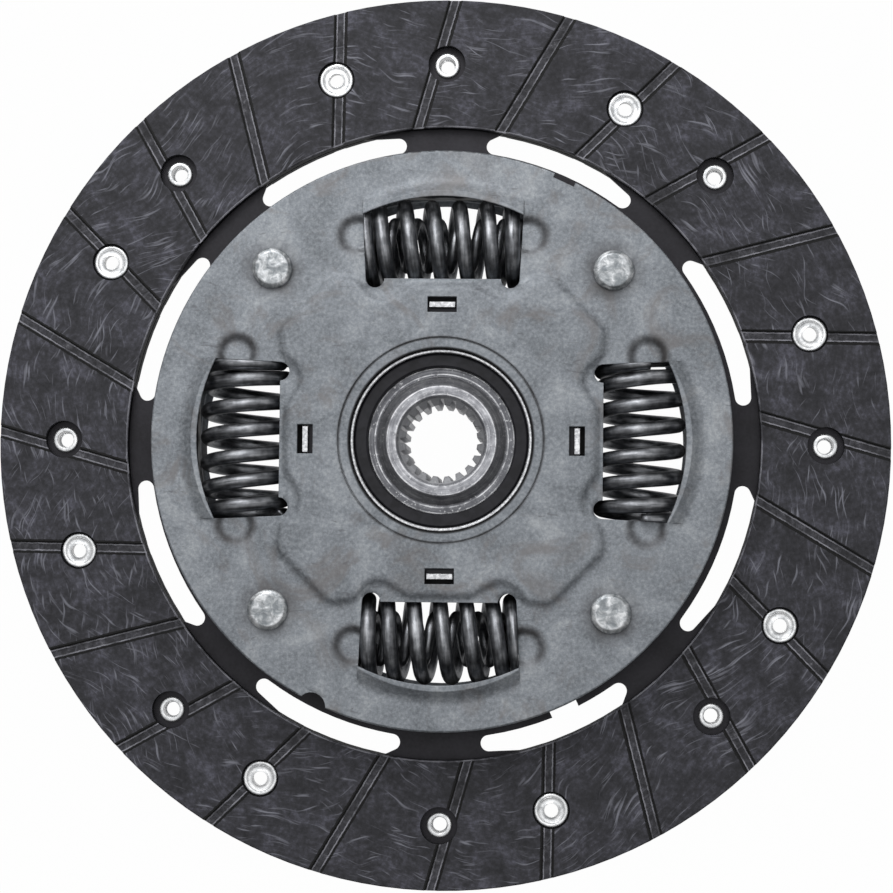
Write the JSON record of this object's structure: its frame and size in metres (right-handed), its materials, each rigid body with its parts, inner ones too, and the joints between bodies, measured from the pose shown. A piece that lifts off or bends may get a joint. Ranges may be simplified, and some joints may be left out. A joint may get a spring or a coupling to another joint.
{
  "type": "clutch disc",
  "caption": "Dry clutch disc: grooved friction facings on a sprung cushion disc, pressed damper covers with coil springs in windows, and a splined hub that turns a little.",
  "frame": {"origin": "on the hub axis at the hub's rear end, where the disc lies on a table", "axes": "+Z along the hub axis towards the damper's front cover, +X and +Y through the middles of two neighbouring spring windows"},
  "size_m": [0.22, 0.22, 0.0303],
  "materials": {
    "blued_sheet": "phosphated pressed steel sheet, matt",
    "spring_steel_sheet": "blackened spring steel, matt",
    "friction_facing": "woven organic friction material, matt",
    "rivet_steel": "plated steel, satin",
    "pin_steel": "phosphated steel, satin",
    "hub_steel": "turned and hardened steel, dark satin",
    "flange_steel": "hardened plate, dark",
    "moulded_ring": "filled polymer, matt",
    "bright_steel": "bright turned steel",
    "spring_wire": "shot peened and oiled spring wire, glossy black"
  },
  "bodies": {
    "disc": {"front_cover": "blued_sheet", "rear_cover": "blued_sheet", "cushion_disc": "spring_steel_sheet", "front_facing": "friction_facing", "rear_facing": "friction_facing", "front_facing_rivets": "rivet_steel", "rear_facing_rivets": "rivet_steel", "stop_pins": "pin_steel", "front_bearing_ring": "moulded_ring", "thrust_plate": "bright_steel", "disc_spring": "spring_steel_sheet", "rear_bearing_ring": "moulded_ring", "rear_friction_ring": "moulded_ring"},
    "hub": {"hub": "hub_steel", "hub_flange": "flange_steel"},
    "springs": {"outer_spring_1": "spring_wire", "outer_spring_2": "spring_wire", "single_spring_1": "spring_wire", "single_spring_2": "spring_wire", "inner_spring_1": "spring_wire", "inner_spring_2": "spring_wire"}
  },
  "joints": [
    {"name": "damper_turn", "type": "hinge", "parent": "disc", "child": "hub", "pos_m": [0, 0, 0], "axis": [0, 0, 1], "range_deg": [-8, 8], "stiffness_Nm_per_rad": 60},
    {"name": "spring_follow", "type": "hinge", "parent": "disc", "child": "springs", "pos_m": [0, 0, 0], "axis": [0, 0, 1], "range_deg": [-4, 4], "deforming": ["outer_spring_1", "outer_spring_2", "single_spring_1", "single_spring_2", "inner_spring_1", "inner_spring_2"]}
  ],
  "couplings": [
    {"joint": "spring_follow", "follows": "damper_turn", "ratio": 0.5}
  ]
}
